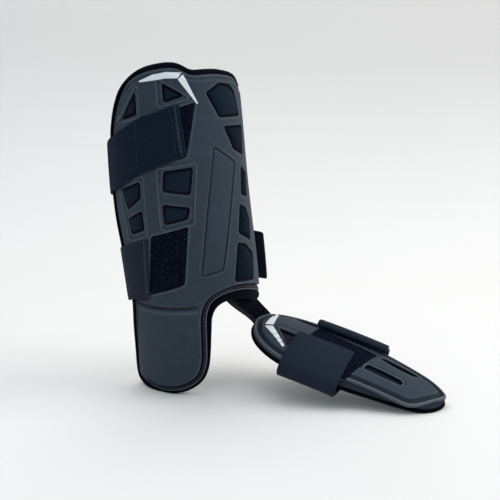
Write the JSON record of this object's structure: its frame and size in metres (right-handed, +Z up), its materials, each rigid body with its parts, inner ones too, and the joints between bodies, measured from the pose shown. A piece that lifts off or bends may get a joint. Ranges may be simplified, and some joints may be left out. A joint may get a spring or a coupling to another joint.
{
  "type": "leg guard",
  "caption": "Batter's leg guard: moulded shin shell on a foam liner with ankle flap and wrap straps, with a strapped toe guard hanging from its front edge.",
  "frame": {"origin": "middle of the footprint, on the ground", "axes": "+Z up the shin, the shin's front and the toes toward -Y, the leg's outer side toward -X"},
  "size_m": [0.2946, 0.3126, 0.3783],
  "materials": {
    "shell": "matte rubbery moulded skin",
    "toe_shell": "matte rubbery moulded skin",
    "liner": "brushed knit over foam",
    "pad": "woven cover over foam",
    "patch": "loop pile",
    "strap": "woven elastic webbing"
  },
  "bodies": {
    "root": {"guard_liner": "liner", "guard_shell": "shell", "pad_top_outer": "pad", "pad_top_front": "pad", "pad_outer_upper": "pad", "pad_outer_lower": "pad", "pad_front_upper": "pad", "pad_front_lower": "pad", "pad_inner_top": "pad", "pad_inner_1": "pad", "pad_inner_2": "pad", "pad_inner_3": "pad", "pad_inner_4": "pad", "upper_patch": "patch", "lower_patch": "patch", "upper_strap": "strap", "lower_strap": "strap", "toe_shell": "toe_shell", "toe_foam_upper": "liner", "toe_foam_lower": "liner", "toe_patch": "patch", "toe_strap": "strap", "connector_strap": "patch"}
  },
  "joints": []
}
